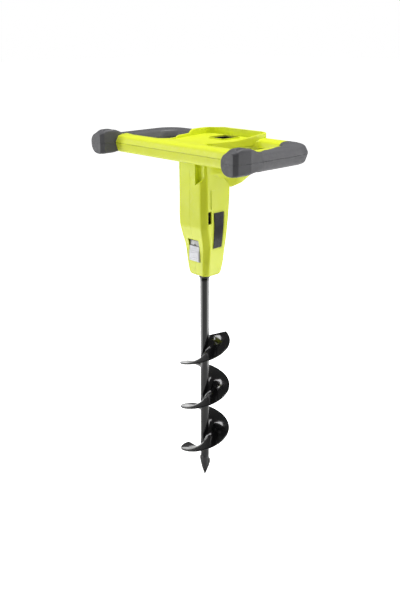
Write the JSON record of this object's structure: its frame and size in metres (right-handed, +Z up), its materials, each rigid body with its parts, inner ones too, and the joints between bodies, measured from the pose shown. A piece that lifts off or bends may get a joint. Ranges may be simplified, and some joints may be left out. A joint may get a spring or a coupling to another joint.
{
  "type": "soil auger",
  "caption": "Cordless hand-held soil auger: closed-loop handle, battery tray, motor and gearbox column, helical bit with spear tip.",
  "frame": {"origin": "where the bit's spin axis crosses the handle's mid-plane", "axes": "+X to the operator's right along the front bar, +Y towards the battery port, +Z up along the spin axis; the bit hangs down -Z"},
  "size_m": [0.396, 0.211, 0.7222],
  "materials": {
    "lime_shell": "satin moulded lime plastic",
    "grey_grip": "matt dark grey overmould",
    "black_plastic": "fine textured black",
    "silver_plastic": "satin light grey",
    "black_enamel": "gloss black enamel on steel",
    "bare_steel": "machined",
    "screw_steel": "dark plated",
    "gearbox_alloy": "die cast",
    "copper": "bright",
    "board_green": "lacquered board",
    "lead_rubber": "matt"
  },
  "bodies": {
    "frame_body": {"handle_upper_shell": "lime_shell", "handle_lower_shell": "lime_shell", "grip_left_upper": "grey_grip", "grip_left_lower": "grey_grip", "grip_right_upper": "grey_grip", "grip_right_lower": "grey_grip", "corner_block_left_upper": "grey_grip", "corner_block_left_lower": "grey_grip", "corner_block_right_upper": "grey_grip", "corner_block_right_lower": "grey_grip", "housing_left": "lime_shell", "housing_right": "lime_shell", "name_plate_left": "black_plastic", "name_plate_right": "black_plastic", "vent_grille_left": "black_plastic", "vent_grille_right": "black_plastic", "selector_track": "silver_plastic", "battery_well": "black_plastic", "battery_contacts": "copper", "control_board": "board_green", "motor_lead": "lead_rubber", "switch_lead": "lead_rubber", "switch_module": "black_plastic", "motor_can": "bare_steel", "magnet_ring": "bare_steel", "motor_end_cap": "black_plastic", "brush_holder": "black_plastic", "motor_bearing_upper": "bare_steel", "motor_bearing_lower": "bare_steel", "motor_mount_plate": "bare_steel", "gearbox_case": "gearbox_alloy", "ring_gear": "bare_steel", "spindle_bearing_upper": "bare_steel", "spindle_bearing_lower": "bare_steel", "handle_screw_1": "screw_steel", "handle_screw_2": "screw_steel", "handle_screw_3": "screw_steel", "handle_screw_4": "screw_steel", "housing_screw_1": "screw_steel", "housing_screw_2": "screw_steel", "housing_screw_3": "screw_steel"},
    "bit": {"output_spindle": "bare_steel", "dust_collar": "black_plastic", "drive_pin": "bare_steel", "auger_shaft": "black_enamel", "auger_flight": "black_enamel", "spear_tip": "black_enamel"},
    "rotor": {"armature_core": "bare_steel", "armature_windings": "copper", "commutator": "copper", "motor_shaft": "bare_steel", "motor_fan": "black_plastic"},
    "planet_1": {"planet_gear_1": "bare_steel"},
    "planet_2": {"planet_gear_2": "bare_steel"},
    "planet_3": {"planet_gear_3": "bare_steel"},
    "trigger_lever": {"trigger": "black_plastic"},
    "lock_button": {"lock_off_button": "black_plastic"},
    "direction_slide": {"direction_switch": "black_plastic"},
    "selector_slide": {"speed_selector": "silver_plastic", "shift_fork": "bare_steel"}
  },
  "joints": [
    {"name": "auger_spin", "type": "hinge", "parent": "frame_body", "child": "bit", "pos_m": [0, 0, -0.2], "axis": [0, 0, 1], "continuous": true},
    {"name": "rotor_spin", "type": "hinge", "parent": "frame_body", "child": "rotor", "pos_m": [0, 0, -0.1], "axis": [0, 0, 1], "continuous": true},
    {"name": "planet_1_spin", "type": "hinge", "parent": "bit", "child": "planet_1", "pos_m": [0.0105, 0, -0.154], "axis": [0, 0, 1], "continuous": true},
    {"name": "planet_2_spin", "type": "hinge", "parent": "bit", "child": "planet_2", "pos_m": [-0.00525, 0.00909, -0.154], "axis": [0, 0, 1], "continuous": true},
    {"name": "planet_3_spin", "type": "hinge", "parent": "bit", "child": "planet_3", "pos_m": [-0.00525, -0.00909, -0.154], "axis": [0, 0, 1], "continuous": true},
    {"name": "trigger_pull", "type": "slide", "parent": "frame_body", "child": "trigger_lever", "axis": [1, 0, 0], "range_m": [0, 0.005], "stiffness_N_per_m": 1500, "springref_m": -0.0015},
    {"name": "lock_off_push", "type": "slide", "parent": "frame_body", "child": "lock_button", "axis": [1, 0, 0], "range_m": [0, 0.003], "stiffness_N_per_m": 800, "springref_m": -0.001},
    {"name": "direction_throw", "type": "slide", "parent": "frame_body", "child": "direction_slide", "axis": [1, 0, 0], "range_m": [-0.004, 0.004]},
    {"name": "speed_shift", "type": "slide", "parent": "frame_body", "child": "selector_slide", "axis": [0, 0, 1], "range_m": [0, 0.012]}
  ],
  "couplings": [
    {"joint": "rotor_spin", "follows": "auger_spin", "ratio": 5},
    {"joint": "planet_1_spin", "follows": "auger_spin", "ratio": -2.6667},
    {"joint": "planet_2_spin", "follows": "auger_spin", "ratio": -2.6667},
    {"joint": "planet_3_spin", "follows": "auger_spin", "ratio": -2.6667}
  ]
}
